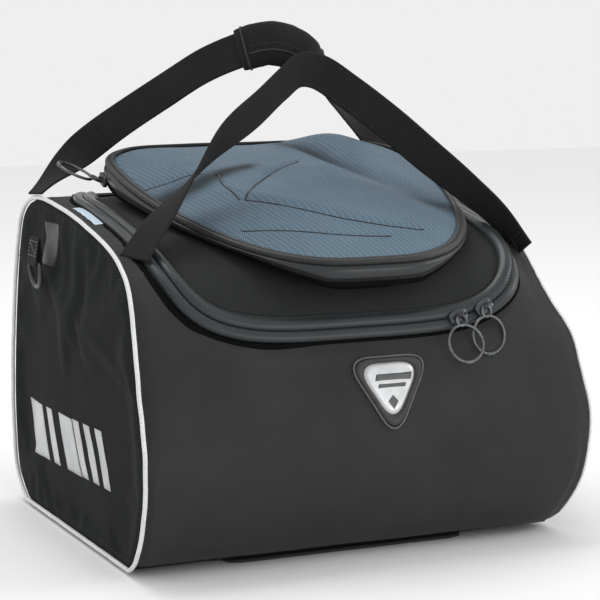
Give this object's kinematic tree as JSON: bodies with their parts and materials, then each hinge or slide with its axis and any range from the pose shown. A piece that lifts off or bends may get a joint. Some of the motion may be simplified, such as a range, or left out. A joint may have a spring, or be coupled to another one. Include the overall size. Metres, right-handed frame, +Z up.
{
  "type": "motorcycle tank bag",
  "caption": "Soft zipped luggage bag with a raised zipped top pocket, webbing handles meeting in a wrapped grip, light piping round each end and rings for a shoulder strap.",
  "frame": {"origin": "under the middle of the bag's length on the ground, inside the grip pad's outline", "axes": "+X along the bag to its right, the front with the badge faces -Y, +Z up"},
  "size_m": [0.4132, 0.3471, 0.4322],
  "materials": {
    "black_fabric": "coarse woven nylon, matt",
    "end_fabric": "plain dark nylon, slight sheen",
    "blue_cover": "embossed textile over foam, fine diagonal weave, satin",
    "zip_tape": "welded tape over the zip, satin",
    "pocket_wall": "dark ribbed tape",
    "webbing": "ribbed polypropylene webbing",
    "grip": "padded fabric",
    "lining": "thin light lining",
    "piping": "light grey reflective cord",
    "dark_trim": "black binding and grip pad, matt",
    "badge": "moulded black",
    "badge_plate": "pale silver",
    "metal": "dark gunmetal",
    "ring_plastic": "black moulded ring",
    "label": "pale blue woven label",
    "board": "stiffening board"
  },
  "bodies": {
    "bag": {"main_wrap": "black_fabric", "back_panel": "black_fabric", "base_panel": "black_fabric", "base_pad": "dark_trim", "base_board": "board", "inner_lining": "lining", "left_end_panel": "end_fabric", "right_end_panel": "end_fabric", "left_piping": "piping", "right_piping": "piping", "deck_zip_tape": "zip_tape", "lid_hinge": "pocket_wall", "left_ring_tab": "webbing", "right_ring_tab": "webbing", "badge_frame": "badge", "badge_plate": "badge_plate", "side_label": "label"},
    "lid": {"lid_panel": "black_fabric", "lid_zip_tape": "zip_tape", "pocket_gusset": "pocket_wall", "pocket_lower_tape": "pocket_wall", "pocket_hinge": "pocket_wall"},
    "pocket_lid": {"pocket_zip_band": "zip_tape", "pocket_cover": "blue_cover", "pocket_piping": "dark_trim"},
    "front_handle": {"front_handle_strap": "webbing"},
    "rear_handle": {"rear_handle_strap": "webbing", "handle_grip": "grip"},
    "left_slider": {"left_zip_slider": "metal"},
    "left_pull": {"left_zip_puller": "metal"},
    "right_slider": {"right_zip_slider": "metal"},
    "right_pull": {"right_zip_puller": "metal"},
    "pocket_zip_slider": {"pocket_slider": "metal"},
    "pocket_pull": {"pocket_puller": "metal"},
    "left_ring": {"left_d_ring": "ring_plastic"},
    "right_ring": {"right_d_ring": "ring_plastic"}
  },
  "joints": [
    {"name": "lid_open", "type": "hinge", "parent": "bag", "child": "lid", "pos_m": [0, 0.1263, 0.2768], "axis": [-1, 0, 0], "range_deg": [0, 80], "deforming": ["lid_hinge"]},
    {"name": "rear_handle_fold", "type": "hinge", "parent": "bag", "child": "rear_handle", "pos_m": [0, 0.126, 0.281], "axis": [-1, 0, 0], "range_deg": [0, 98], "deforming": ["rear_handle_strap", "handle_grip"]},
    {"name": "front_handle_fold", "type": "hinge", "parent": "bag", "child": "front_handle", "pos_m": [0, -0.084, 0.255], "axis": [1, 0, 0], "range_deg": [0, 153], "deforming": ["front_handle_strap"]},
    {"name": "pocket_open", "type": "hinge", "parent": "lid", "child": "pocket_lid", "pos_m": [0.006, 0.1264, 0.3022], "axis": [-1, 0, 0], "range_deg": [0, 50], "deforming": ["pocket_hinge"]},
    {"name": "left_slider_travel", "type": "hinge", "parent": "lid", "child": "left_slider", "pos_m": [0.03135, 0.09634, 0.65159], "axis": [0.006, 0.8925, -0.451], "range_deg": [0, 9]},
    {"name": "right_slider_travel", "type": "hinge", "parent": "lid", "child": "right_slider", "pos_m": [0.08313, -0.11423, 0.25762], "axis": [0.0327, -0.9455, 0.324], "range_deg": [0, 20]},
    {"name": "right_pull_swing", "type": "hinge", "parent": "right_slider", "child": "right_pull", "pos_m": [0.10627, -0.13842, 0.19948], "axis": [-0.8621, -0.187, -0.471], "range_deg": [0, 110]},
    {"name": "left_pull_swing", "type": "hinge", "parent": "left_slider", "child": "left_pull", "pos_m": [0.08155, -0.14069, 0.19378], "axis": [-0.9658, -0.093, -0.242], "range_deg": [0, 110]},
    {"name": "pocket_slider_travel", "type": "slide", "parent": "pocket_lid", "child": "pocket_zip_slider", "axis": [-0.0401, -0.9619, -0.2705], "range_m": [0, 0.04]},
    {"name": "pocket_pull_swing", "type": "hinge", "parent": "pocket_zip_slider", "child": "pocket_pull", "pos_m": [-0.14267, 0.09221, 0.29308], "axis": [0.0401, 0.9619, 0.2705], "range_deg": [0, 60]},
    {"name": "left_ring_swing", "type": "hinge", "parent": "bag", "child": "left_ring", "pos_m": [-0.2027, 0.088, 0.225], "axis": [0, 1, 0], "range_deg": [0, 90]},
    {"name": "right_ring_swing", "type": "hinge", "parent": "bag", "child": "right_ring", "pos_m": [0.2027, 0.088, 0.225], "axis": [0, -1, 0], "range_deg": [0, 90]}
  ],
  "couplings": [
    {"joint": "rear_handle_fold", "follows": "lid_open", "ratio": 1.2},
    {"joint": "front_handle_fold", "follows": "lid_open", "ratio": 1.9},
    {"joint": "left_pull_swing", "follows": "right_pull_swing", "ratio": 1},
    {"joint": "pocket_pull_swing", "follows": "pocket_slider_travel", "rad_per_m": 26}
  ]
}
